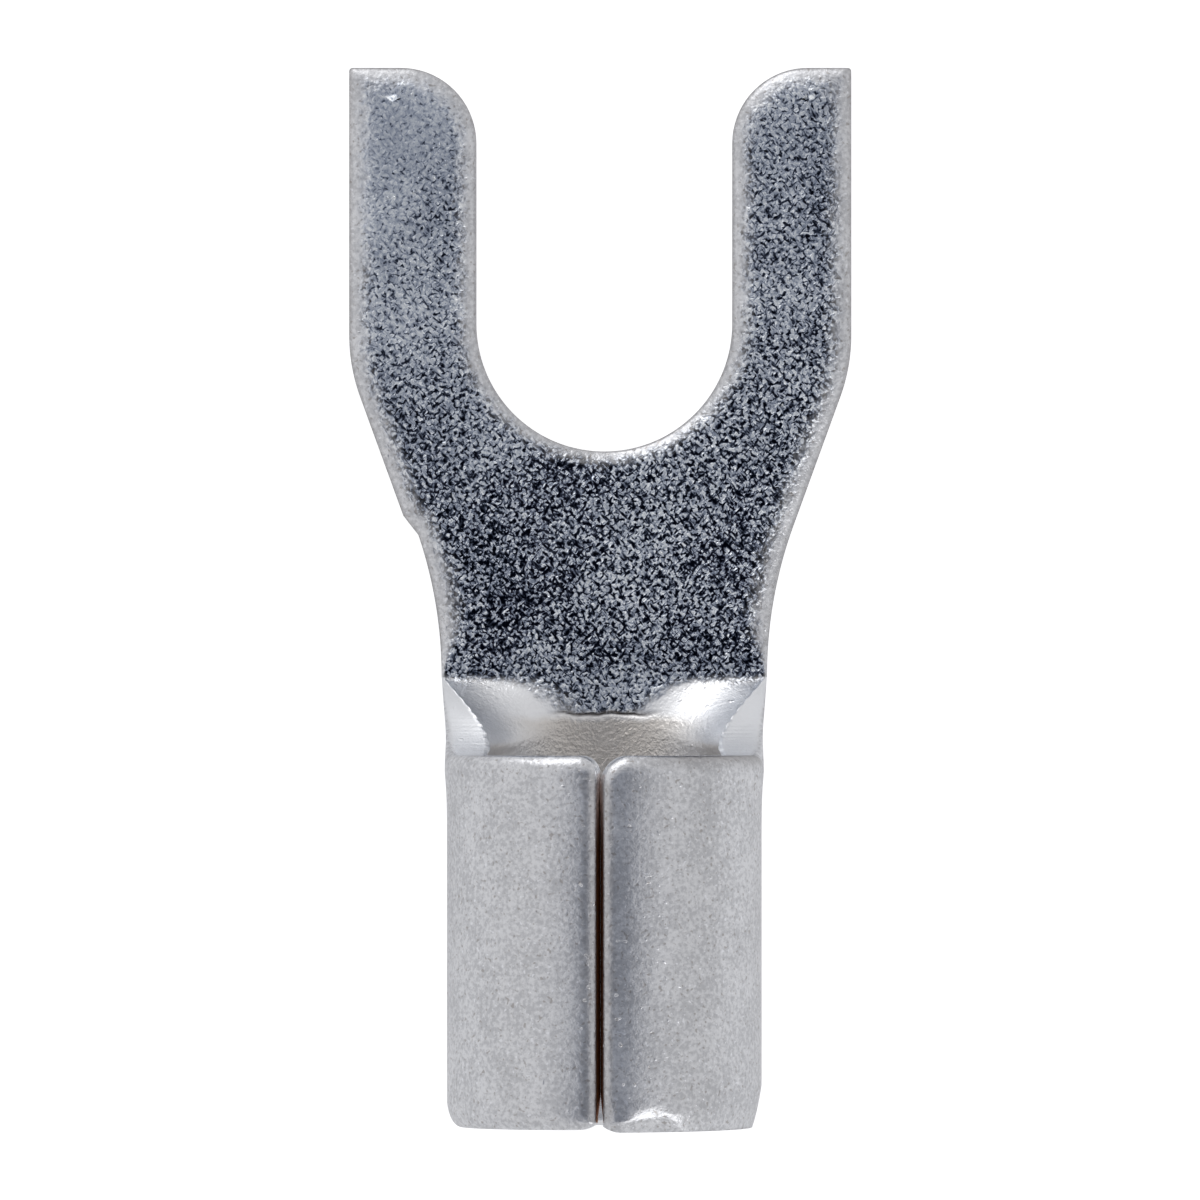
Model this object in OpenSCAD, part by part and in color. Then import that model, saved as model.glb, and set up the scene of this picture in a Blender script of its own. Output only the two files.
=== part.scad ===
// Bare fork terminal: one stamped sheet of tinned copper, flat and forked in front,
// curled up through a short neck and rolled into a wire barrel with a butted seam on top.
// The origin is the centre of the slot's round end, on the tongue's underside.
// The tines point along +Y, the barrel lies along -Y and its seam faces +Z.

/* [Sheet] */
// Thickness of the sheet
sheet_t = 0.8; // [0.7:0.05:1.2]
// Rounding of the stamped edges
edge_r = 0.25; // [0.1:0.05:0.3]

/* [Fork] */
// Width across the two tines, as punched in line
fork_w = 8.5; // [7.8:0.1:10]
// Width of the slot that takes the stud
slot_w = 4.4; // [3.4:0.1:5]
// Length of the tines from the centre of the slot's round end
tine_len = 4.4; // [3:0.1:7]
// Rounding of the tines' inner corners
tip_r = 1.3; // [0.5:0.1:1.5]

/* [Shoulders] */
// Length of the tines' straight outer sides below the slot's centre
side_drop = 0.2; // [0.1:0.1:2]
// Radius that turns the straight sides into the shoulders
bend_r = 3.1; // [1:0.1:4]
// Slope of the shoulders from the part's length
shoulder_deg = 20; // [15:1:23]
// Radius that turns the shoulders into the neck
fillet_r = 7.6; // [4:0.1:9]
// How far the left side was punched out of line with the neck
punch_shift = 0.14; // [0.04:0.02:0.2]
// Length of the slanted ledge that this left on the left shoulder
ledge_len = 0.35; // [0.25:0.05:0.6]

/* [Neck] */
// Width of the flat tongue where the sides begin to curl up
neck_w = 5.6; // [5:0.1:6.2]
// Length of the neck, from the flat tongue to the barrel
neck_len = 1.35; // [0.85:0.05:3]

/* [Barrel] */
// Diameter of the bore that takes the wire
bore_d = 3.9; // [3.4:0.1:4.4]
// Length of the rolled barrel
barrel_len = 6.45; // [4:0.05:12]
// Depth that the wire's seat is coined into the sheet
coin_d = 0.05; // [0.02:0.01:0.1]
// Length of the coined seat in front of the barrel
seat_len = 0.7; // [0.3:0.1:0.8]
// Width of the open seam
seam_w = 0.12; // [0.06:0.02:0.4]
// Rounding of the wings' corners at the front of the seam
wing_r = 0.45; // [0.2:0.05:0.8]
// Rounding of the wings' corners at the back of the seam
tail_r = 0.25; // [0.1:0.05:0.6]

/* [Hidden] */
$fn = 96;

// Flat facets in each quarter of a rounded edge
round_steps = 3;
// Straight stretches in each arc of the tongue's outline
arc_steps = 8;
// Sections along the neck, and flat strips across each section
neck_steps = 14;
strip_steps = 24;
// How far a cut reaches past the metal that it removes
spare = 0.5;
// How far the neck runs on into the barrel's wall, and how far its skin lies below the wall's skin there
neck_lap = 0.3;
neck_tuck = 0.01;
// The part of a half turn, beside the neck's wings, where the barrel's front edge stays square
wing_deg = 4;

half_fork = fork_w / 2;
half_slot = slot_w / 2;
half_neck = neck_w / 2;
wall_t = sheet_t - coin_d;
bore_r = bore_d / 2;
barrel_r = bore_r + wall_t;

// The outline of the right side, from the tine down: straight side, bend, shoulder, fillet, neck
bend_centre = [half_fork - bend_r, -side_drop];
bend_end = bend_centre + bend_r * [cos(shoulder_deg), -sin(shoulder_deg)];
shoulder_run = half_fork - half_neck - (bend_r + fillet_r) * (1 - cos(shoulder_deg));
fillet_start = bend_end - shoulder_run * [1, 1 / tan(shoulder_deg)];
neck_y = fillet_start.y - fillet_r * sin(shoulder_deg);
fillet_centre = [half_neck + fillet_r, neck_y];
front_y = neck_y - neck_len;
rear_y = front_y - barrel_len;

// The ledge on the left side: half of its length is above the fillet's start and half below
ledge_top = fillet_start + ledge_len / 2 * [sin(shoulder_deg), cos(shoulder_deg)];
ledge_deg = shoulder_deg - ledge_len / 2 / fillet_r * 180 / PI;

// The rounded edge of the sheet from its lower to its upper face, as [distance in from the edge, height]
function edge_profile(thick) =
    let(
        step = 90 / round_steps,
        lower = [for (i = [0 : round_steps]) edge_r * [1 - sin(i * step), 1 - cos(i * step)]],
        upper = [for (i = [round_steps : -1 : 0]) [lower[i].x, thick - lower[i].y]]
    )
    concat(lower, upper);

// Points on an arc about a centre
function arc(centre, r, from, to) =
    [for (i = [0 : arc_steps]) centre + r * [for (f = [0, 90]) cos(from + (to - from) * i / arc_steps - f)]];

// One side of the tongue's outline from the neck up to the tip and down to the slot's round end, drawn as
// the right side, moved in from the sheet's edge by an inset. From the shoulder to the tip it stands out by
// a shift, and its fillet ends at a slope, where the ledge begins.
function side_outline(inset, shift, slope) =
    let(
        tip_centre = [half_slot + tip_r, tine_len - tip_r],
        out = half_fork + shift - inset
    )
    concat(
        arc(fillet_centre, fillet_r + inset, 180, 180 - slope),
        [ledge_top + [shift, 0] + inset * [-cos(shoulder_deg), sin(shoulder_deg)]],
        arc(bend_centre + [shift, 0], bend_r - inset, -shoulder_deg, 0),
        [[out, 0], [out, tine_len - inset]],
        arc(tip_centre, tip_r - inset, 90, 180),
        [[half_slot + inset, 0]]
    );

// The whole outline of the tongue at an inset from its edge: up the right side and down the left side
function tongue_outline(inset) =
    let(
        right = side_outline(inset, 0, shoulder_deg),
        left = side_outline(inset, punch_shift, ledge_deg)
    )
    concat(right, [for (i = [len(left) - 1 : -1 : 0]) [-left[i].x, left[i].y]]);

// The flat forked tongue, with a square end to its slot
module tongue_blank() {
    profile = edge_profile(sheet_t);
    rings = [for (e = profile) [for (p = tongue_outline(e.x)) [p.x, p.y, e.y]]];
    size = len(rings[0]);
    side = size / 2;
    top = (len(rings) - 1) * size;
    tine = 2 * arc_steps + 3;
    walls = [
        for (j = [0 : len(rings) - 2], i = [0 : size - 1])
            let(a = j * size + i, b = j * size + (i + 1) % size)
                each [[a, b + size, b], [a, a + size, b + size]]
    ];
    web = [for (i = [0 : tine - 2]) [i, i + 1, size - 2 - i, size - 1 - i]];
    crotch = [tine - 1, tine, side - 1, side, size - 1 - tine, size - tine];
    right_tine = [for (i = [tine : side - 1]) i];
    left_tine = [for (i = [side : size - 1 - tine]) i];
    lower_face = concat(web, [crotch, right_tine, left_tine]);
    upper_face = [for (f = lower_face) [for (i = [len(f) - 1 : -1 : 0]) f[i] + top]];
    polyhedron([for (ring = rings) each ring], concat(walls, lower_face, upper_face), convexity = 4);
}

// Section of everything outside a rounded sheet edge. The edge is at x = 0 with the sheet on the left,
// the sheet's faces are at y = 0 and y = thick, and the section reaches out to x = reach.
module outside_edge(thick, reach) {
    edge = [for (e = edge_profile(thick)) [-e.x, e.y]];
    last = len(edge) - 1;
    lead_in = 2 * edge[0] - edge[1];
    lead_out = 2 * edge[last] - edge[last - 1];
    polygon(concat([lead_in], edge, [lead_out, [reach, thick + spare], [reach, -spare]]));
}

// The tongue with the slot's round end cut about the origin
module tongue() {
    difference() {
        tongue_blank();
        rotate_extrude(start = 180, angle = 180)
            translate([half_slot, 0])
                mirror([1, 0])
                    outside_edge(sheet_t, edge_r);
        translate([0, 0, -spare])
            cylinder(h = sheet_t + 2 * spare, r = half_slot - edge_r / 2);
    }
}

// Outline of the sheet's flat section: along its underside, round its right edge, back along its top
// face and round its left edge
function strip_section(half_w) =
    let(
        edge = edge_profile(sheet_t),
        count = len(edge) - 2,
        flat = half_w - edge_r,
        across = [for (i = [0 : strip_steps]) flat * (2 * i / strip_steps - 1)]
    )
    concat(
        [for (x = across) [x, 0]],
        [for (i = [1 : count]) [half_w - edge[i].x, edge[i].y]],
        [for (i = [strip_steps : -1 : 0]) [across[i], sheet_t]],
        [for (i = [count : -1 : 1]) [edge[i].x - half_w, edge[i].y]]
    );

// A point of the flat section, with the sheet bent upwards to a curvature about the part's length
function bent(p, curve, y) =
    let(turn = p.x * curve * 180 / PI, r = curve == 0 ? 0 : 1 / curve)
    curve == 0 ? [p.x, y, p.y] : [(r - p.y) * sin(turn), y, r - (r - p.y) * cos(turn)];

// The neck's section at a share of the way from the flat tongue to the barrel. The sides' slope grows
// steadily to upright, and the width over the rounded edges goes from the tongue's to the barrel's.
function neck_section(share, y) =
    let(
        slope = 90 * share,
        rounded_off = edge_r * (sin(slope) + cos(slope) - 1),
        half_w = half_neck + (barrel_r - half_neck) * share + rounded_off,
        curve = sin(slope) / half_w,
        strip_half = share == 0 ? half_w : slope * PI / 180 / curve,
        tuck = neck_tuck * share
    )
    [for (p = strip_section(strip_half)) bent([p.x, tuck + p.y * (1 - tuck / sheet_t)], curve, y)];

// The neck, from the flat tongue to the half round that runs on into the barrel's wall
module neck() {
    shares = [for (i = [0 : neck_steps]) i / neck_steps];
    rings = concat(
        [for (s = shares) neck_section(s, neck_y - neck_len * s)],
        [neck_section(1, front_y - neck_lap)]
    );
    size = len(rings[0]);
    last = (len(rings) - 1) * size;
    top = size / 2;
    opposite = top + strip_steps;
    skin = [
        for (j = [0 : len(rings) - 2], i = [0 : size - 1])
            let(a = j * size + i, b = j * size + (i + 1) % size)
                each [[a, b + size, b], [a, a + size, b + size]]
    ];
    strips = [for (i = [0 : strip_steps - 1]) [i, i + 1, opposite - i - 1, opposite - i]];
    right_edge = [for (i = [strip_steps : top]) i];
    left_edge = concat([for (i = [opposite : size - 1]) i], [0]);
    near_end = concat(strips, [right_edge, left_edge]);
    far_end = [for (f = near_end) [for (i = [len(f) - 1 : -1 : 0]) f[i] + last]];
    polyhedron([for (ring = rings) each ring], concat(skin, near_end, far_end), convexity = 4);
}

// Places what is drawn along +Z from the origin on the barrel's axis, running back from its front
module along_barrel() {
    translate([0, front_y, barrel_r])
        rotate([90, 0, 0])
            children();
}

// The rolled barrel before its bore and seam are cut, with the edges of both ends rounded
module barrel() {
    along_barrel()
        difference() {
            cylinder(h = barrel_len + spare / 2, r = barrel_r);
            translate([0, 0, barrel_len])
                rotate_extrude()
                    translate([bore_r, 0])
                        mirror([1, -1])
                            outside_edge(wall_t, spare);
            translate([0, 0, -neck_tuck])
                rotate_extrude(start = wing_deg, angle = 180 - 2 * wing_deg)
                    translate([bore_r, 0])
                        mirror([0, 1])
                            mirror([1, -1])
                                outside_edge(wall_t, spare);
        }
}

// The wire's bore, with its coined seat reaching out in front over the neck's floor
module wire_bore() {
    along_barrel()
        translate([0, 0, -seat_len])
            cylinder(h = seat_len + barrel_len + spare, r = bore_r);
}

// An upright cut that rounds a wing's corner. The wing lies at +X and -Y of the corner.
module corner_cut(r) {
    step = 90 / round_steps;
    bow = [for (i = [0 : round_steps]) r * [1 - cos(i * step), sin(i * step) - 1]];
    lead_in = 2 * bow[0] - bow[1];
    lead_out = 2 * bow[round_steps] - bow[round_steps - 1];
    linear_extrude(barrel_r + spare)
        polygon(concat([lead_in], bow, [lead_out, [-seam_w, spare], [-seam_w, lead_in.y]]));
}

// The open seam along the barrel's top, with rounded lips and with the wings' corners rounded at both ends
module seam() {
    translate([0, front_y + spare, barrel_r])
        rotate([90, 0, 0])
            linear_extrude(barrel_len + 2 * spare)
                for (side = [0, 1])
                    mirror([side, 0])
                        translate([seam_w / 2, bore_r])
                            mirror([1, 0])
                                outside_edge(wall_t, seam_w);
    for (side = [0, 1])
        mirror([side, 0, 0])
            translate([seam_w / 2, 0, barrel_r]) {
                translate([0, front_y, 0])
                    corner_cut(wing_r);
                translate([0, rear_y, 0])
                    mirror([0, 1, 0])
                        corner_cut(tail_r);
            }
}

// The whole terminal
module fork_terminal() {
    color([0.72, 0.73, 0.75])
        difference() {
            union() {
                tongue();
                neck();
                barrel();
            }
            wire_bore();
            seam();
        }
}

fork_terminal();
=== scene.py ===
import bmesh
import bpy
import numpy as np
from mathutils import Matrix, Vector


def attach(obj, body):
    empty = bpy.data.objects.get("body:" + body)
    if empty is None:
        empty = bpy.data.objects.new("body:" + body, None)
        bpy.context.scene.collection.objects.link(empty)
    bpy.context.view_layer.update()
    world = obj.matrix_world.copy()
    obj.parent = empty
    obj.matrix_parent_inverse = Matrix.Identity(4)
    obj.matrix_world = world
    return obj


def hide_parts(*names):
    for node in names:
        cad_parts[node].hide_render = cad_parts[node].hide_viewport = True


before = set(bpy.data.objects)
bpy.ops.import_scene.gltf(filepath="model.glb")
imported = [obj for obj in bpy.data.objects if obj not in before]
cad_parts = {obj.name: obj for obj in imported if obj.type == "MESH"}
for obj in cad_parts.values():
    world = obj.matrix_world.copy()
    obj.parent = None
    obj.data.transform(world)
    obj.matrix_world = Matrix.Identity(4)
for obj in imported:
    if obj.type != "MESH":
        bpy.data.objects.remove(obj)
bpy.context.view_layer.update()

# The fork terminal is one piece of copper strip, tinned all over. A press blanks its flat shape, which draws
# the upper edges of the cut down, then curls the neck up and rolls the two wings into a barrel that meets
# in a butted seam on top. Lengths here are in millimetres.
MM = 0.001
sheet_t = 0.8
half_fork = 4.25
half_slot = 2.2
tine_len = 4.4
tip_r = 1.3
corner_r = 0.06
corner_opening = 0.5
side_drop = 0.2
bend_r = 3.1
shoulder = np.radians(20)
fillet_r = 7.6
punch_shift = 0.14
ledge_len = 0.35
half_neck = 2.8
neck_len = 1.35
neck_bulge = 0.1
curl_start = 0.04
bore_r = 1.95
barrel_r = 2.7
barrel_len = 6.45
seat_y = -6.71
seam_w = 0.12
seam_shift = 0.085
touch_gap = 0.0005

bend_end_s = half_fork - bend_r * (1 - np.cos(shoulder))
bend_end_y = -side_drop - bend_r * np.sin(shoulder)
shoulder_run = half_fork - half_neck - (bend_r + fillet_r) * (1 - np.cos(shoulder))
fillet_s = bend_end_s - shoulder_run
fillet_y = bend_end_y - shoulder_run / np.tan(shoulder)
neck_y = fillet_y - fillet_r * np.sin(shoulder)
front_y = neck_y - neck_len
rear_y = front_y - barrel_len

# The points along each stretch of one half of the blank's edge, in order from the slot's bottom to the rear,
# and how many of them the edge's direction is eased over
across_floor = 28
across_wing = 56
stretches = {
    "slot_end": 34, "slot_side": 22, "tip_bow": 19, "tip_end": across_floor - 1, "tip_corner": 6,
    "side": 30, "bend": 18, "shoulder": 26, "ledge": 6, "fillet": 34, "neck": 54,
    "mouth": across_wing - 1, "wing_corner": 8, "seam": 70, "tail_corner": 7,
    "wing_rear": across_wing - 1, "floor_rear": across_floor + 1,
}
ends = np.cumsum(list(stretches.values()))
span = {name: slice(end - count, end) for (name, count), end in zip(stretches.items(), ends)}
normal_ease = 13

# What differs between the halves: the left one was punched out of line, the wings' corners are not alike,
# and painted shade lies on the right wing's front only. A tail's taper is the width and the height of the
# rear edge's outer corner at the barrel's side.
halves = {
    "right": {
        "sign": 1, "shift": 0.0, "ledge": shoulder, "wing_r": 0.5, "lip": 0.19, "tail_taper": (0.72, 0.16),
        "tail_straight": 0.75, "tail_lift": 0.0, "front_shade": 0.8, "polish_blur": 0.5,
    },
    "left": {
        "sign": -1, "shift": punch_shift, "ledge": shoulder - ledge_len / 2 / fillet_r, "wing_r": 0.32,
        "lip": 0.23, "tail_taper": (0.42, 0.21), "tail_straight": 0.2, "tail_lift": 0.05,
        "front_shade": 0.0, "polish_blur": 1.2,
    },
}

# The rear edge: the size of its corners at the seam, its bow, and its outer corner's size at the bottom
tail_s = 0.3
tail_y = 0.11
tail_bow = 0.08
tail_bow_power = 1.5
tail_middle = (0.4, 0.18)


def risen(y):
    """How far up the neck a place along the part is: 0 on the tongue, 1 on the barrel, steady in between."""
    return np.clip((neck_y - y) / neck_len, 0, 1)


def side_slope(y):
    """Slope of the sheet's sides at a place along the part: none on the tongue, then growing along the neck,
    steadily after a soft start, to upright at the barrel."""
    part = risen(y)
    return np.pi / 2 * (1 + curl_start) * part**2 / (part + curl_start)


def curl(y):
    """Curvature of the sheet across the part at a place along it: the sine of the sides' slope over the half
    width, which goes from the neck's to the barrel's with a slight bulge in between. From the neck's end on
    it is the inverse of the barrel's radius."""
    slope = side_slope(y)
    bulge = neck_bulge * (np.sin(slope) + np.cos(slope) - 1)
    return np.sin(slope) / (half_neck + (barrel_r - half_neck) * risen(y) + bulge)


def half_outline(inset, half):
    """One half of the flat blank's edge as distances across and along the part. Each stretch is a line or an
    arc, moved into the metal by the inset given for each point: lines shift, arcs change their radius, and a
    corner tighter than its inset closes to a mitre. From the bend to the neck the points move along the
    path's own normals."""
    d = {name: inset[..., where] for name, where in span.items()}
    run = {name: np.arange(count) / count for name, count in stretches.items()}
    s, y = np.zeros_like(inset), np.zeros_like(inset)

    turn = np.pi / 2 * (run["slot_end"] - 1)
    s[..., span["slot_end"]] = (half_slot + d["slot_end"]) * np.cos(turn)
    y[..., span["slot_end"]] = (half_slot + d["slot_end"]) * np.sin(turn)
    s[..., span["slot_side"]] = half_slot + d["slot_side"]
    y[..., span["slot_side"]] = (tine_len - tip_r) * run["slot_side"]
    turn = np.linspace(np.pi, np.pi / 2, stretches["tip_bow"])
    s[..., span["tip_bow"]] = half_slot + tip_r + (tip_r - d["tip_bow"]) * np.cos(turn)
    y[..., span["tip_bow"]] = tine_len - tip_r + (tip_r - d["tip_bow"]) * np.sin(turn)

    out = half_fork + half["shift"]
    bow_r = corner_r + corner_opening * d["tip_corner"]
    centre_s, centre_y = out - d["tip_corner"] - bow_r, tine_len - d["tip_corner"] - bow_r
    turn = np.pi / 2 * (1 - run["tip_corner"])
    s[..., span["tip_corner"]] = centre_s + bow_r * np.cos(turn)
    y[..., span["tip_corner"]] = centre_y + bow_r * np.sin(turn)
    part = np.arange(1, across_floor) / across_floor
    s[..., span["tip_end"]] = half_slot + tip_r + (centre_s[..., :1] - half_slot - tip_r) * part
    y[..., span["tip_end"]] = tine_len - d["tip_end"]
    s[..., span["side"]] = out - d["side"]
    y[..., span["side"]] = centre_y[..., -1:] - (centre_y[..., -1:] + side_drop) * run["side"]

    turn = -shoulder * run["bend"]
    ledge_top_s = fillet_s + ledge_len / 2 * np.sin(shoulder) + half["shift"]
    ledge_top_y = fillet_y + ledge_len / 2 * np.cos(shoulder)
    hollow = np.linspace(half["ledge"], 0, stretches["fillet"])
    hollow_s = half_neck + fillet_r * (1 - np.cos(hollow))
    hollow_y = neck_y + fillet_r * np.sin(hollow)
    rise_y = neck_y - neck_len * np.arange(1, stretches["neck"] + 1) / stretches["neck"]
    path_s = np.concatenate([
        out - bend_r * (1 - np.cos(turn)),
        bend_end_s + half["shift"] + (ledge_top_s - bend_end_s - half["shift"]) * run["shoulder"],
        ledge_top_s + (hollow_s[0] - ledge_top_s) * run["ledge"],
        hollow_s,
        side_slope(rise_y) / curl(rise_y),
    ])
    path_y = np.concatenate([
        -side_drop + bend_r * np.sin(turn),
        bend_end_y + (ledge_top_y - bend_end_y) * run["shoulder"],
        ledge_top_y + (hollow_y[0] - ledge_top_y) * run["ledge"],
        hollow_y,
        rise_y,
    ])
    ease = np.hanning(normal_ease) / np.hanning(normal_ease).sum()
    normal = np.stack([np.gradient(path_y), -np.gradient(path_s)])
    normal /= np.hypot(*normal)
    padded = np.pad(normal, ((0, 0), (normal_ease // 2, normal_ease // 2)), mode="edge")
    normal = np.stack([np.convolve(component, ease, "valid") for component in padded])
    normal /= np.hypot(*normal)
    # The last point moves along the mitre between the neck's edge and the mouth
    normal[:, -1] = (normal[:, -1] + [0, -1]) / (1 - normal[1, -1])
    where = slice(span["bend"].start, span["neck"].stop)
    s[..., where] = path_s + normal[0] * inset[..., where]
    y[..., where] = path_y + normal[1] * inset[..., where]

    seam_s = np.pi * barrel_r - seam_w / 2 + seam_shift * half["sign"]
    wing_r = half["wing_r"]
    corner_s = s[..., span["neck"].stop - 1][..., None]
    mitre = np.maximum(wing_r, d["mouth"])
    part = np.arange(1, across_wing) / across_wing
    s[..., span["mouth"]] = corner_s + (seam_s - mitre - corner_s) * part
    y[..., span["mouth"]] = front_y - d["mouth"]
    mitre = np.maximum(wing_r, d["wing_corner"])
    bow_r = np.maximum(wing_r - d["wing_corner"], 0)
    turn = np.pi / 2 * (1 - run["wing_corner"])
    s[..., span["wing_corner"]] = seam_s - mitre + bow_r * np.cos(turn)
    y[..., span["wing_corner"]] = front_y - mitre + bow_r * np.sin(turn)
    # A rear corner runs halfway between a quarter ellipse and a straight cut
    turn = np.linspace(0, -np.pi / 2, stretches["tail_corner"])
    part_turned = np.linspace(0, 1, stretches["tail_corner"])
    out_s, out_y = (np.cos(turn) + 1 - part_turned) / 2, (np.sin(turn) - part_turned) / 2
    wide, deep = np.maximum(tail_s, d["tail_corner"]), np.maximum(tail_y, d["tail_corner"])
    fore, aft = np.maximum(wing_r, d["seam"][..., :1]), deep[..., -1:]
    s[..., span["seam"]] = seam_s - d["seam"]
    y[..., span["seam"]] = front_y - fore + (rear_y + aft - front_y + fore) * run["seam"]
    s[..., span["tail_corner"]] = seam_s - wide + np.maximum(tail_s - d["tail_corner"], 0) * out_s
    y[..., span["tail_corner"]] = rear_y + deep + np.maximum(tail_y - d["tail_corner"], 0) * out_y
    last_s = s[..., span["tail_corner"].stop - 1][..., None]
    side_s = np.pi / 2 * barrel_r
    s[..., span["wing_rear"]] = last_s + (side_s - last_s) * part
    y[..., span["wing_rear"]] = rear_y + d["wing_rear"]
    s[..., span["floor_rear"]] = side_s * np.linspace(1, 0, across_floor + 1)
    y[..., span["floor_rear"]] = rear_y + d["floor_rear"]
    rear = slice(span["tail_corner"].start, None)
    to_side = np.clip((seam_s - tail_s - s[..., rear]) / (seam_s - side_s), 0, 1)
    y[..., rear] += tail_bow * to_side**tail_bow_power
    y[..., rear] += half["tail_lift"] * (s[..., rear] / seam_s) ** 2
    return s, y


def along_edge(soften=15, **values):
    """A size given for each stretch of the edge, carried on from the stretch before where none is given, and
    eased over the last few points before it changes."""
    sizes, size = [], 0.0
    for name, count in stretches.items():
        size = values.get(name, size)
        sizes.append(np.full(count, size))
    ease = np.hanning(soften + 2)[1:-1]
    padded = np.pad(np.concatenate(sizes), (0, soften - 1), mode="edge")
    return np.convolve(padded, ease / ease.sum(), "valid")


# The seat is cut into the neck's floor behind a crease that wavers across it. Each waver is a sine with a
# height, a rate and a start.
seat_wavers = ((0.02, 5.5, 0.6), (0.012, 13.0, 0.0))
seat_depth = 0.055
seat_run = 0.05
seat_softness = 0.012
flattest_curl = 0.05
crease_depth = 0.045
crease_half_w = 0.03
crease_widening = 0.008
crease_reach = 1.0


def seat_line(s):
    """Where the cut of the seat starts along the part: a straight line across it plus its wavers."""
    return seat_y + sum(high * np.sin(rate * s + start) for high, rate, start in seat_wavers)


def sheet_top(s, y):
    """Height of the sheet's upper face above its underside: the full thickness, cut down behind the seat's
    front line to the cylinder of the bore, wherever that lies below the curled sheet. The crease on the line
    is a groove with the section of a bell curve, which ends a little way out from the middle."""
    k = np.maximum(curl(y), flattest_curl)
    offset = 1 / k - barrel_r
    reach = np.sqrt(np.maximum(bore_r**2 - (offset * np.sin(k * s)) ** 2, 0))
    bore_h = 1 / k - offset * np.cos(k * s) - reach
    line = seat_line(s)
    behind = np.clip((line - y) / seat_run + 0.5, 0, 1)
    below = (sheet_t - bore_h) / seat_softness
    cut = seat_softness * np.logaddexp(0, np.clip(below, -40, 40))
    width = crease_half_w + crease_widening * s
    groove = crease_depth * np.exp(-((y - line) / width) ** 2) * np.exp(-(s / crease_reach) ** 6)
    return sheet_t - behind * np.clip(cut, 0, seat_depth) - groove


# What rolling and use have done to the barrel: its mouth bulges at the sides, the wings dip towards the seam,
# and a knock has left a sloping flat on the right wing's rear edge
mouth_bulge = 0.05
mouth_bulge_len = 0.55
seam_dip = 0.03
seam_dip_w = 0.3
knock_depth = 0.14
knock_half_w = 0.64
knock_from_top = 0.85
knock_slope = 0.34


def formed(s, y, h):
    """A point of the flat blank, at s across, y along and h above the underside, after forming. The sheet is
    bent to the curl at y, so that s becomes an angle about the part's length. The mouth's bulge and the
    seam's dip fade as bell curves, and the knock is a parabola across that runs out up its slope."""
    a = curl(y) * s
    x = s * np.sinc(a / np.pi) - h * np.sin(a)
    z = s * a / 2 * np.sinc(a / (2 * np.pi)) ** 2 + h * np.cos(a)
    rolled = risen(y) ** 2
    bulge = mouth_bulge * rolled * np.exp(-((y - front_y) / mouth_bulge_len) ** 2)
    x += bulge * np.sin(a) * np.abs(np.sin(a))
    top_s = np.pi * barrel_r
    across = 1 - ((top_s - s - knock_from_top) / knock_half_w) ** 2
    knock = np.maximum(knock_depth * across - knock_slope * np.maximum(y - rear_y, 0), 0)
    dip = seam_dip * np.exp(-((top_s - np.abs(s)) / seam_dip_w) ** 2) * rolled
    x -= (knock + dip) * np.sin(a)
    z += (knock + dip) * np.cos(a)
    return x, y, z


# The edge's section: the upper corner is drawn down in a long soft roll, the wall below it is sheared, and
# the lower corner, its foot, is barely rounded, save where the roll of the barrel turns it outside. A low
# burr stands along the neck's edges.
roll_steps, wall_steps, foot_steps = 9, 6, 7
burr_h = 0.05
burr_waver = 0.3
burr_rate = 1.1

# The wings touch for a short way behind the mouth, and part into a deeper groove from there on
touching_points = 1.95
opening_points = 13
seam_opening = np.clip((np.arange(stretches["seam"]) - touching_points) / opening_points, 0, 1)

# The rows of points across the barrel draw together over a run behind its mouth, which a first step ends, and
# over a run before its rear
fore_run = 0.4
fore_step = 0.05
aft_run = 0.16


def ruled(start, end, first, last):
    """A grid of points filled in between its two long sides, start and end, with its first and last rows
    given: straight lines between the sides, plus each end row's own departure from a straight line, fading
    along the grid."""
    b = np.linspace(0, 1, len(first))
    a = np.linspace(0, 1, len(start))[:, None]
    straight = start[:, None] * (1 - b) + end[:, None] * b
    grid = straight + (1 - a) * (first - straight[0]) + a * (last - straight[-1])
    grid[:, 0], grid[:, -1] = start, end
    return grid


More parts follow.
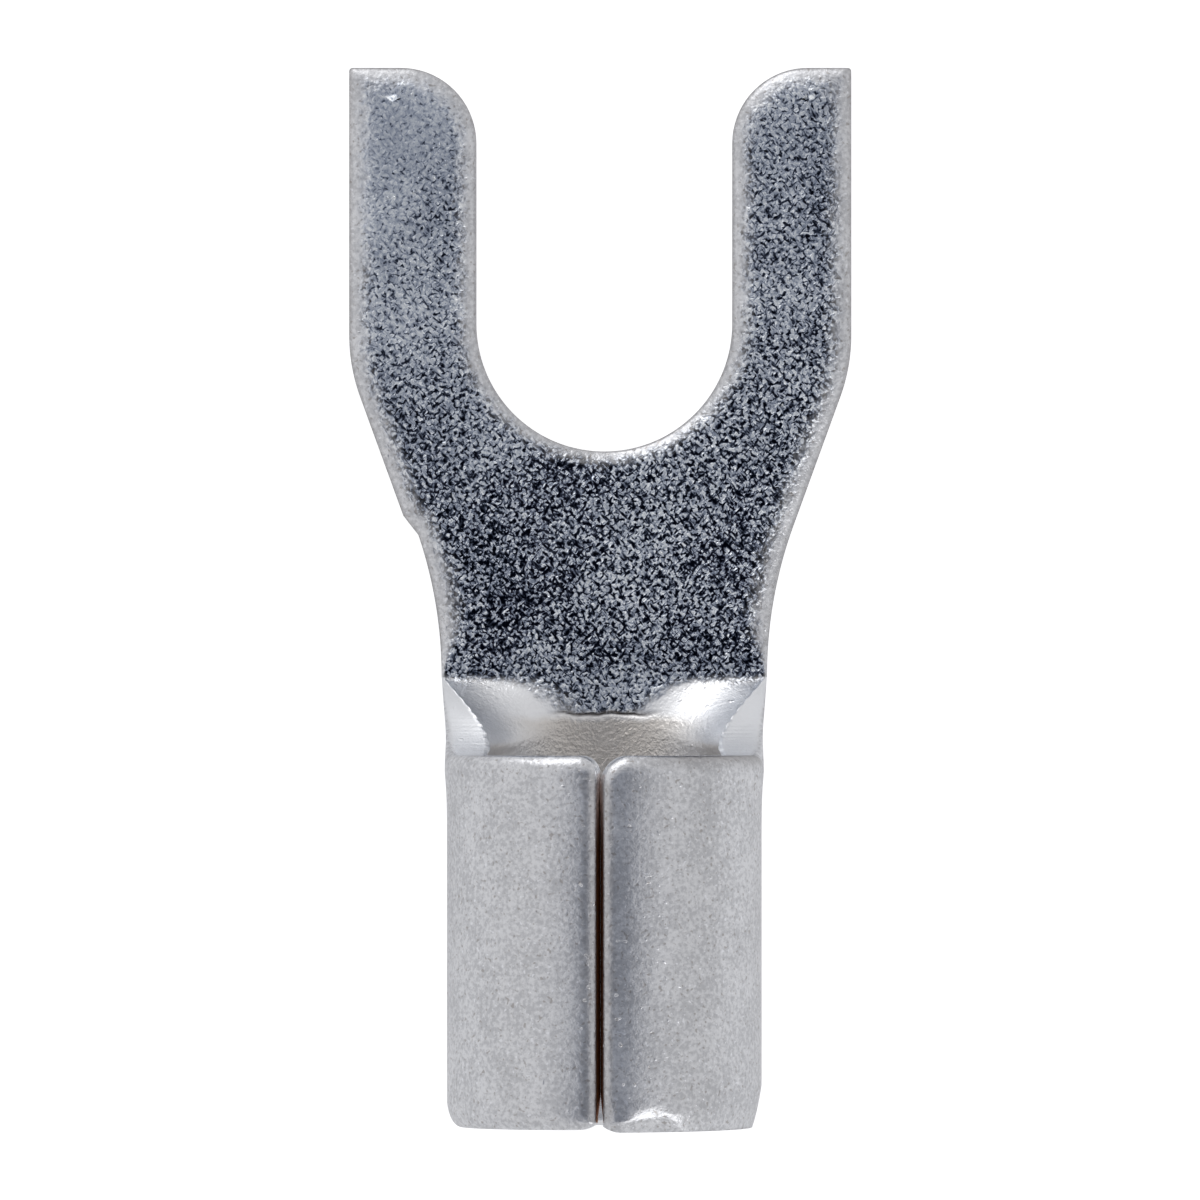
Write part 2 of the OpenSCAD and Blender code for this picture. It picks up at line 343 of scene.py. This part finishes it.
def half_shell(half):
    """The grids of one half of the sheet, each as distances across, along and up. The upper and the lower
    face are each a floor, ruled between the slot or the middle line and the outer edge, and a wing, ruled
    between the barrel's side and the seam. The edge's section, carried along the outline, joins the two
    faces: a quarter ellipse for the roll, a line for the wall, and for the foot a quarter ellipse that is
    partly straightened at the rear. The burr is a wavering hump on the neck's roll."""
    roll_w = along_edge(slot_end=0.5, tip_bow=0.52, side=0.56, neck=0.08, mouth=0.12)
    roll_h = along_edge(slot_end=0.18, side=0.19, neck=0.07, mouth=0.1)
    foot_w = along_edge(soften=7, slot_end=0.12, neck=0.1, mouth=0.28, seam=half["lip"])
    foot_h = along_edge(soften=7, slot_end=0.1, neck=0.1, mouth=0.2, seam=0.1)
    straight = along_edge(soften=7, tail_corner=half["tail_straight"])
    to_side = np.concatenate([np.linspace(0, 1, stretches["wing_rear"]), np.ones(stretches["floor_rear"])])
    to_middle = np.linspace(0, 1, stretches["floor_rear"])
    for size, taper, middle in zip((foot_w, foot_h), half["tail_taper"], tail_middle):
        size[span["wing_rear"].start:] += (taper - size[-1]) * to_side
        size[span["floor_rear"]] += (middle - taper) * to_middle
    straight[span["floor_rear"]] *= 1 - to_middle
    bow = np.linspace(0, np.pi / 2, roll_steps + 1)[:, None]
    wall = np.linspace(0, 1, wall_steps + 1)[1:-1, None]
    heel = np.linspace(0, np.pi / 2, foot_steps + 1)[:, None]
    part = np.linspace(0, 1, foot_steps + 1)[:, None]
    lean_in = along_edge(soften=7, seam=seam_w / 2 - touch_gap, tail_corner=0.0)
    parted = np.ones_like(lean_in)
    parted[span["wing_corner"]] = 0
    parted[span["seam"]] = seam_opening
    foot_in = foot_w * ((1 - straight) * (1 - np.cos(heel)) + straight * part)
    inset = np.concatenate([roll_w * (1 - np.sin(bow)) - lean_in, lean_in * (wall * parted - 1), foot_in])
    s, y = half_outline(inset, half)
    top = sheet_top(half["sign"] * s, y)
    burr = along_edge(soften=9, neck=burr_h, mouth=0.0)
    burr *= 1 - burr_waver + burr_waver * np.sin(np.arange(len(burr)) * burr_rate)
    roll_top = top[:roll_steps + 1] - roll_h * (1 - np.cos(bow)) + burr * np.sin(2 * bow) ** 2
    foot_top = foot_h * ((1 - straight) * (1 - np.sin(heel)) + straight * (1 - part))
    wall_top = roll_top[-1] + (foot_top[0] - roll_top[-1]) * wall
    grids = [(s, y, np.concatenate([roll_top, wall_top, foot_top]))]

    rows_slot = span["tip_bow"].stop
    rows_neck = stretches["neck"]
    rows_mid = span["neck"].stop - span["tip_corner"].start - rows_slot - rows_neck
    fore = fore_run * (1 - np.cos(np.linspace(0, np.pi / 2, stretches["wing_corner"] + 1)))[:-1]
    aft = aft_run * (1 - np.sin(np.linspace(0, np.pi / 2, stretches["tail_corner"])))
    middle = np.linspace(fore[-1] + fore_step, barrel_len - aft_run, stretches["seam"] + 1)[:-1]
    back = np.concatenate([fore, middle, barrel_len - aft]) / barrel_len
    corner = span["neck"].stop - 1
    side_end = span["floor_rear"].start
    outer = slice(span["tip_corner"].start, span["neck"].stop)
    tip, mouth, rear = (
        slice(span[name].start - 1, span[name].stop + 1) for name in ("tip_end", "mouth", "wing_rear")
    )
    floor_rear = span["floor_rear"]
    wing_rows = slice(span["wing_corner"].start, span["tail_corner"].stop)
    for row in (0, -1):
        es, ey = s[row], y[row]
        inner_y = np.concatenate([
            ey[:rows_slot][::-1],
            np.linspace(ey[0], neck_y, rows_mid + 1)[1:],
            neck_y - neck_len * np.arange(1, rows_neck + 1) / rows_neck,
            front_y + (ey[-1] - front_y) * back[1:],
        ])
        inner_s = np.zeros_like(inner_y)
        inner_s[:rows_slot] = es[:rows_slot][::-1]
        column_s = es[corner] + (es[side_end] - es[corner]) * back
        column_y = ey[corner] + (ey[side_end] - ey[corner]) * back
        outer_s = np.concatenate([es[outer], column_s[1:]])
        outer_y = np.concatenate([ey[outer], column_y[1:]])
        floor_s = ruled(inner_s, outer_s, es[tip], es[floor_rear][::-1])
        floor_y = ruled(inner_y, outer_y, ey[tip], ey[floor_rear][::-1])
        wing_s = ruled(column_s, es[wing_rows], es[mouth], es[rear][::-1])
        wing_y = ruled(column_y, ey[wing_rows], ey[mouth], ey[rear][::-1])
        for gs, gy in ((floor_s, floor_y), (wing_s, wing_y)):
            grids.append((gs, gy, sheet_top(half["sign"] * gs, gy) if row == 0 else np.zeros_like(gs)))
    return grids


def grid_faces(rows, columns, first):
    """The four corners of every cell of a grid whose points are numbered row by row from a first number."""
    a = first + np.arange(rows - 1)[:, None] * columns + np.arange(columns - 1)
    return np.stack([a, a + columns, a + columns + 1, a + 1], axis=-1).reshape(-1, 4)


# Where the finish changes: the polish closes in along the neck and starts late at the slot's bottom, the
# stain fades into the bore, and painted shade lies in the crease, on the lips and round the tongue's rim
upper_h = 0.5
polish_s = 1.35
polish_closing = 0.75
polish_start = -0.14
polish_fade = 0.4
polish_seat_blur = 1 / 12
polish_growth = 1.5
polish_late = 0.22
stain_run = 0.15
stain_depth = 1.2
stain_reach = 2.0
crease_shade_reach = 1.05
front_shade_fade = 0.25
lip_shade = 0.25
rim_shade = np.array([[0.2], [0.45], [0.6]])
copper_least = 0.35


def painted_masks(half, number, s, y, h):
    """Masks over one grid of a half, the edge being grid 0, the upper faces 1 and 2 and the lower faces 3 and
    4. Bare copper lies in the seam, most where the wings part. Painted shade lies along the crease before the
    seat, on the lips of the seam, on the front of a wing and round the tongue's rim, and the floor behind the
    crease is stained. The wall of the edge is sheared and the neck's upper corner carries a painted highlight
    in the sheared colour, with the distance run along the edge. The lower face and the corner below the wall
    are rubbed by the die. The drawn edges and the sides of the neck are burnished, from a line that closes in
    along the neck."""
    names = ("bare_copper", "painted_shade", "stained", "sheared_and_ridge_highlight", "edge_run", "die_rubbed", "burnished")
    masks = {name: np.zeros_like(s) for name in names}
    upper = h > upper_h
    along = (neck_y - y) / (neck_y - seat_y)
    beside = np.clip((s - polish_s + polish_closing * along) / half["polish_blur"] + 0.5, 0, 1)
    beside *= np.clip((along - polish_start) / polish_fade, 0, 1)
    masks["burnished"] += np.maximum(beside, np.clip((along - 1) / polish_seat_blur + 0.5, 0, 1))
    line = seat_line(half["sign"] * s)
    # Painted shade along the crease
    crease_shade_end = np.exp(-(s / crease_shade_reach) ** 6)
    masks["painted_shade"] += np.exp(-((y - line) / crease_half_w) ** 2) * crease_shade_end * upper
    behind = np.clip((line - y) / stain_run, 0, 1) * np.clip(y - front_y + stain_depth, 0, 1)
    masks["stained"] += behind * np.exp(-(s / stain_reach) ** 4) * upper
    if number == 0:
        wall_end = roll_steps + wall_steps
        masks["bare_copper"][:wall_end, span["seam"]] = copper_least + (1 - copper_least) * seam_opening
        masks["sheared_and_ridge_highlight"][roll_steps:wall_end] = 1
        # On the neck's upper corner the sheared colour is a painted highlight along the ridge
        masks["sheared_and_ridge_highlight"][:roll_steps, span["neck"]] = np.linspace(0, 1, roll_steps)[:, None]
        step = np.hypot(np.diff(s[roll_steps], prepend=0), np.diff(y[roll_steps], prepend=0))
        masks["edge_run"] += np.cumsum(step)
        masks["die_rubbed"][wall_end:] = 1
        # Painted shade darkens the front of the right wing, the seam's lips and the tongue's rim
        down = np.linspace(1, 0, foot_steps + 1)[:, None]
        to_seam = np.clip(np.linspace(1, 0, stretches["mouth"]) / front_shade_fade, 0, 1)
        masks["painted_shade"][wall_end:, span["mouth"]] = half["front_shade"] * down * to_seam
        masks["painted_shade"][wall_end:, span["seam"]] = lip_shade
        rim = slice(roll_steps + 1 - len(rim_shade), roll_steps + 1)
        masks["painted_shade"][rim, :span["fillet"].stop] = rim_shade
        late = along_edge(soften=25, slot_end=polish_late, slot_side=0.0)
        drawn = np.clip(np.arange(len(s))[:, None] / roll_steps * polish_growth - late, 0, 1)
        masks["burnished"] = np.maximum(masks["burnished"], drawn)
    masks["die_rubbed"] += number > 2
    return masks


points, faces, masks = [], [], []
count = 0
for half in halves.values():
    for number, (s, y, h) in enumerate(half_shell(half)):
        points.append(np.stack(formed(s * half["sign"], y, h), axis=-1).reshape(-1, 3) * MM)
        faces.append(grid_faces(*s.shape, count))
        masks.append(painted_masks(half, number, s, y, h))
        count += s.size

mesh = bpy.data.meshes.new("fork_terminal_tinned")
mesh.from_pydata(np.concatenate(points), [], np.concatenate(faces))
for name in masks[0]:
    values = np.concatenate([grid[name].ravel() for grid in masks])
    mesh.attributes.new(name, "FLOAT", "POINT").data.foreach_set("value", values)
merge_dist = 2e-8
shell = bmesh.new()
shell.from_mesh(mesh)
bmesh.ops.remove_doubles(shell, verts=shell.verts, dist=merge_dist)
bmesh.ops.dissolve_degenerate(shell, edges=shell.edges, dist=merge_dist)
bmesh.ops.recalc_face_normals(shell, faces=shell.faces)
shell.to_mesh(mesh)
shell.free()
mesh.shade_smooth()
terminal = bpy.data.objects.new("fork_terminal_tinned", mesh)
bpy.context.scene.collection.objects.link(terminal)

# The tin is a thin dull skin: grey with a blue cast, finely pitted from rolling and tumbling, with painted
# shade darkening the pits and painted highlights on the tops between them, paler patches, dark specks,
# painted glints, shear marks on the cut edges and brown copper showing in the seam.
# Scales are in cells per metre, that of the shear marks per millimetre, and places are along the part.
pit_painted_shade = (0.002, 0.003, 0.008)
pit_shade = (0.075, 0.09, 0.13)
tin_blue = (0.48, 0.53, 0.63)
tin_painted_highlight = (0.95, 0.98, 1.0)
tin_grey = (0.58, 0.585, 0.605)
tin_pale = (0.79, 0.795, 0.815)
dark_speck = (0.37, 0.345, 0.33)
painted_glint = (0.95, 0.96, 1.0)
neck_highlight_tin = (0.94, 0.945, 0.96)
floor_stain = (0.64, 0.585, 0.52)
sheared_tin_and_ridge_highlight = (0.9, 0.91, 0.93)
painted_shade_colour = (0.18, 0.16, 0.15)
bare_copper = (0.5, 0.24, 0.1)
pit_scale = 15000
speck_and_glint_scale = 15000
grain_scale = 13000
fleck_scale = 9000
ragged_scale = 6000
bloom_scale = 1400
patch_scale = 750
striation_scale = 9.0
pit_depth = 4.2e-5
ironed_highlight_full, ironed_highlight_none = -6.4 * MM, -5.95 * MM
neck_pit_fade_full, neck_pit_fade_none = -6.6 * MM, -5.3 * MM
pit_fade_none, pit_fade_full = -6.0 * MM, 6.6 * MM
haze_none, haze_full = 3.2 * MM, 6.4 * MM

tin = bpy.data.materials.new("tinned_copper")
tin.use_nodes = True
nodes, links = tin.node_tree.nodes, tin.node_tree.links
metal = nodes["Principled BSDF"]
metal.inputs["Metallic"].default_value = 1.0
place = nodes.new("ShaderNodeTexCoord").outputs["Object"]


# Each of these functions adds its nodes to the tree that nodes and links belong to at the time
def noise(scale, detail, rough, distortion=0.0, vector=place):
    """Noise over the surface, from 0 to 1."""
    node = nodes.new("ShaderNodeTexNoise")
    links.new(vector, node.inputs["Vector"])
    values = {"Scale": scale, "Detail": detail, "Roughness": rough, "Distortion": distortion}
    for name, value in values.items():
        node.inputs[name].default_value = value
    return node.outputs["Fac"]


def ranged(value, low, high, to_low, to_high):
    """A value's range from low to high, eased and mapped onto another range."""
    node = nodes.new("ShaderNodeMapRange")
    node.interpolation_type = "SMOOTHSTEP"
    links.new(value, node.inputs["Value"])
    for name, number in (("From Min", low), ("From Max", high), ("To Min", to_low), ("To Max", to_high)):
        node.inputs[name].default_value = number
    return node.outputs["Result"]


def calc(kind, a, b=0.0):
    """Two values, or a value and a number, joined by one step of arithmetic."""
    node = nodes.new("ShaderNodeMath")
    node.operation = kind
    for socket, value in zip(node.inputs, (a, b)):
        if isinstance(value, (int, float)):
            socket.default_value = value
        else:
            links.new(value, socket)
    return node.outputs["Value"]


def plus(value, other, share):
    """A value plus a share of another one."""
    return calc("ADD", value, calc("MULTIPLY", other, share))


def without(mask, value=1.0):
    """A value, where a mask is off."""
    return calc("MULTIPLY", calc("SUBTRACT", 1.0, mask), value)


def flattened(value, mask, share, lift):
    """A value that loses a share of itself and gains a lift, both as far as a mask goes."""
    return plus(calc("MULTIPLY", value, without(calc("MULTIPLY", mask, share))), mask, lift)


def blend(factor, a, b):
    """Two colours, mixed by a factor."""
    node = nodes.new("ShaderNodeMix")
    node.data_type = "RGBA"
    links.new(factor, node.inputs["Factor"])
    for name, value in (("A", a), ("B", b)):
        socket = next(s for s in node.inputs if s.name == name and s.type == "RGBA")
        if isinstance(value, tuple):
            socket.default_value = (*value, 1)
        else:
            links.new(value, socket)
    return next(s for s in node.outputs if s.type == "RGBA")


def painted(name):
    """A mask that was painted on the mesh."""
    node = nodes.new("ShaderNodeAttribute")
    node.attribute_name = name
    return node.outputs["Fac"]


def streaked(turn, scale, stretch):
    """Noise drawn out into short streaks, all at one turn from the part's length."""
    node = nodes.new("ShaderNodeMapping")
    node.vector_type = "TEXTURE"
    node.inputs["Rotation"].default_value = (0, 0, np.radians(turn))
    node.inputs["Scale"].default_value = (1, stretch, 1)
    links.new(place, node.inputs["Vector"])
    return noise(scale, detail=1.0, rough=0.5, distortion=0.3, vector=node.outputs["Vector"])


def ramp(value, *stops):
    """A colour for each value, straight between stops given as a place and a colour."""
    node = nodes.new("ShaderNodeValToRGB")
    elements = node.color_ramp.elements
    while len(elements) < len(stops):
        elements.new(0.5)
    for element, (at, colour) in zip(elements, stops):
        element.position = at
        element.color = (*colour, 1)
    links.new(value, node.inputs["Fac"])
    return node.outputs["Color"]


# Burnishing has a ragged border, and irons the tin smooth in the neck, which carries a painted highlight. The
# pits are shallower, lighter and duller towards the tips, most on the left tine, and just before the neck,
# and haze lies over the tips.
sheared_and_ridge_highlight = painted("sheared_and_ridge_highlight")
rubbed = painted("die_rubbed")
stained = painted("stained")
axes = nodes.new("ShaderNodeSeparateXYZ")
links.new(place, axes.inputs["Vector"])
across, along = axes.outputs["X"], axes.outputs["Y"]
ragged = plus(painted("burnished"), noise(ragged_scale, detail=2.0, rough=0.6), share=0.8)
burnished = ranged(ragged, 0.5, 1.35, 0.0, 1.0)
tumbled = without(rubbed, without(burnished))
ironed_and_highlit = calc("MULTIPLY", without(rubbed, burnished), ranged(along, ironed_highlight_full, ironed_highlight_none, 1.0, 0.0))
to_tips = plus(plus(along, across, share=-0.45), calc("ABSOLUTE", across), share=0.3)
pit_fade = ranged(to_tips, pit_fade_none, pit_fade_full, 0.0, 1.0)
pit_fade = calc("MAXIMUM", pit_fade, ranged(along, neck_pit_fade_full, neck_pit_fade_none, 0.65, 0.0))
haze = ranged(to_tips, haze_none, haze_full, 0.0, 1.0)

# The pits of the tumbled tin with their painted shade and highlights, then the plain tin with its clouds,
# dark specks, painted glints, painted highlight and stain, and over both the sheared tin with the painted
# highlight on the neck's ridge, the painted shade and the copper
one_way = streaked(turn=42, scale=pit_scale, stretch=2.6)
other_way = streaked(turn=-40, scale=pit_scale, stretch=2.2)
streaks = calc("ADD", calc("MINIMUM", one_way, other_way), 0.07)
pits = calc("MINIMUM", noise(pit_scale, detail=1.5, rough=0.5, distortion=0.4), streaks)
patches = noise(patch_scale, detail=2.0, rough=0.5)
level = plus(pits, patches, share=0.15)
level = flattened(level, pit_fade, share=0.45, lift=0.31)
level = flattened(level, haze, share=0.4, lift=0.243)
# Painted shade darkens the pits towards black, and a painted highlight lightens the tops between them to near
# white
tumbled_colour = ramp(level, (0.48, pit_painted_shade), (0.54, pit_shade), (0.582, tin_blue), (0.66, tin_painted_highlight))
grain = noise(grain_scale, detail=2.0, rough=0.6)
cloud = plus(calc("MULTIPLY", grain, 0.7), noise(bloom_scale, detail=2.0, rough=0.6), share=0.3)
specks_and_glints = noise(speck_and_glint_scale, detail=0.5, rough=0.5)
plain_colour = blend(ranged(cloud, 0.38, 0.62, 0.0, 1.0), tin_grey, tin_pale)
plain_colour = blend(ranged(specks_and_glints, 0.22, 0.36, 0.7, 0.0), plain_colour, dark_speck)
# The bright specks are painted glints
plain_colour = blend(ranged(specks_and_glints, 0.68, 0.78, 0.0, 0.7), plain_colour, painted_glint)
# A painted highlight lightens the ironed tin in the neck nearly to white
plain_colour = blend(calc("MULTIPLY", ironed_and_highlit, 0.85), plain_colour, neck_highlight_tin)
plain_colour = blend(calc("MULTIPLY", stained, 0.75), plain_colour, floor_stain)
colour = blend(tumbled, plain_colour, tumbled_colour)
# The sheared colour is also a painted highlight on the neck's ridge
colour = blend(sheared_and_ridge_highlight, colour, sheared_tin_and_ridge_highlight)
# Painted shade over the crease, the lips, the wing's front and the rim
colour = blend(painted("painted_shade"), colour, painted_shade_colour)
colour = blend(painted("bare_copper"), colour, bare_copper)
links.new(colour, metal.inputs["Base Color"])

# The relief: the pits with a few raised flecks, the grain, which is strongest in the stain, and the shear
# marks
flecks = calc("MAXIMUM", calc("SUBTRACT", noise(fleck_scale, detail=0.0, rough=0.5), 0.77), 0.0)
striation = nodes.new("ShaderNodeTexNoise")
striation.noise_dimensions = "1D"
striation.inputs["Scale"].default_value = striation_scale
striation.inputs["Detail"].default_value = 3.0
links.new(painted("edge_run"), striation.inputs["W"])
height = calc("MULTIPLY", plus(level, flecks, share=9.0), ranged(tumbled, 0.0, 1.0, 0.22, 1.0))
height = plus(height, grain, ranged(stained, 0.0, 1.0, 0.16, 0.55))
height = plus(height, sheared_and_ridge_highlight, calc("MULTIPLY", striation.outputs["Fac"], 0.25))
bump = nodes.new("ShaderNodeBump")
bump.inputs["Strength"].default_value = 1.0
bump.inputs["Distance"].default_value = pit_depth
links.new(height, bump.inputs["Height"])
links.new(bump.outputs["Normal"], metal.inputs["Normal"])

# The gloss: patchy where tumbled, duller where the pits fade and under the haze, and dullest where the metal
# was worked
roughness = plus(ranged(patches, 0.3, 0.7, 0.22, 0.3), pit_fade, share=0.08)
roughness = plus(roughness, haze, share=0.05)
for mask, least in ((rubbed, 0.32), (ironed_and_highlit, 0.38), (stained, 0.42), (sheared_and_ridge_highlight, 0.5)):
    roughness = calc("MAXIMUM", roughness, calc("MULTIPLY", mask, least))
links.new(roughness, metal.inputs["Roughness"])
mesh.materials.append(tin)

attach(terminal, "root")
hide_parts("fork_terminal")

# The table is a plain white sheet just under the part. It takes the part's soft shadow, and shows white to
# the camera and in the metal.
table_half = 0.4
table_drop = 1e-5
paper_white = (0.8, 0.8, 0.8, 1)
glow_in_view = 0.7
glow_in_metal = 0.2
table = bpy.data.meshes.new("table")
corners = np.array([(-1, -1, 0), (1, -1, 0), (1, 1, 0), (-1, 1, 0)]) * table_half
table.from_pydata(corners - (0, 0, table_drop), [], [(0, 1, 2, 3)])
table_top = bpy.data.objects.new("table", table)
bpy.context.scene.collection.objects.link(table_top)
paper = bpy.data.materials.new("white_paper")
paper.use_nodes = True
nodes, links = paper.node_tree.nodes, paper.node_tree.links
sheet = nodes["Principled BSDF"]
sheet.inputs["Base Color"].default_value = paper_white
sheet.inputs["Roughness"].default_value = 0.9
sheet.inputs["Specular IOR Level"].default_value = 0.0
glow = nodes.new("ShaderNodeEmission")
glow.inputs["Color"].default_value = (1, 1, 1, 1)
ray = nodes.new("ShaderNodeLightPath")
in_view = calc("MULTIPLY", ray.outputs["Is Camera Ray"], glow_in_view)
in_metal = calc("MULTIPLY", ray.outputs["Is Glossy Ray"], glow_in_metal)
links.new(calc("MAXIMUM", in_view, in_metal), glow.inputs["Strength"])
both = nodes.new("ShaderNodeAddShader")
links.new(sheet.outputs["BSDF"], both.inputs[0])
links.new(glow.outputs["Emission"], both.inputs[1])
links.new(both.outputs["Shader"], nodes["Material Output"].inputs["Surface"])
table.materials.append(paper)

# The light is a pale tent round the part, dark overhead where the camera looks in and a little brighter to
# the upper left, with a soft key lamp at the upper left and a weaker fill lamp at the lower right. Past the
# table the camera sees plain white.
overhead = Vector((0.03, -0.03, 1.0)).normalized()
brighter_side = (-0.07, 0.05, 0.0)
tent_shades = (
    (0.0, (0.65, 0.65, 0.66)), (0.643, (0.66, 0.66, 0.67)), (0.819, (0.63, 0.63, 0.645)),
    (0.906, (0.46, 0.47, 0.5)), (0.951, (0.25, 0.26, 0.295)), (0.985, (0.17, 0.19, 0.235)),
)
lamp_aim = Vector((0, -0.004, 0.001))
world = bpy.data.worlds.new("tent")
bpy.context.scene.world = world
world.use_nodes = True
nodes, links = world.node_tree.nodes, world.node_tree.links
way = nodes.new("ShaderNodeTexCoord").outputs["Generated"]


def towards(direction):
    """How far a way out into the tent points in a direction: their dot product."""
    node = nodes.new("ShaderNodeVectorMath")
    node.operation = "DOT_PRODUCT"
    links.new(way, node.inputs[0])
    node.inputs[1].default_value = direction
    return node.outputs["Value"]


shade = nodes.new("ShaderNodeVectorMath")
shade.operation = "SCALE"
links.new(ramp(towards(overhead), *tent_shades), shade.inputs[0])
links.new(calc("ADD", towards(brighter_side), 1.0), shade.inputs["Scale"])
ray = nodes.new("ShaderNodeLightPath")
seen = blend(ray.outputs["Is Camera Ray"], shade.outputs["Vector"], (1, 1, 1))
links.new(seen, nodes["Background"].inputs["Color"])
nodes["Background"].inputs["Strength"].default_value = 1.0


def soft_lamp(name, at, size, power):
    """A square soft lamp that faces the middle of the part."""
    lamp = bpy.data.lights.new(name, "AREA")
    lamp.size = size
    lamp.energy = power
    holder = bpy.data.objects.new(name, lamp)
    holder.location = at
    holder.rotation_euler = (lamp_aim - Vector(at)).to_track_quat("-Z", "Y").to_euler()
    bpy.context.scene.collection.objects.link(holder)


soft_lamp("key", at=(-0.055, 0.13, 0.05), size=0.11, power=0.045)
soft_lamp("fill", at=(0.084, -0.096, 0.09), size=0.075, power=0.024)

# The camera looks straight down from far off, with the tines at the top of the picture
picture_mm = 20.64
centre_x = -0.074
centre_y = -4.756
camera_height = 0.8
sensor_mm = 36
eye = bpy.data.cameras.new("eye")
eye.sensor_width = sensor_mm
eye.lens = sensor_mm * camera_height / (picture_mm * MM)
eye.clip_start, eye.clip_end = 0.1, 3.0
camera = bpy.data.objects.new("eye", eye)
camera.location = (centre_x * MM, centre_y * MM, camera_height + sheet_t * MM)
bpy.context.scene.collection.objects.link(camera)
bpy.context.scene.camera = camera
bpy.context.scene.view_settings.view_transform = "Standard"
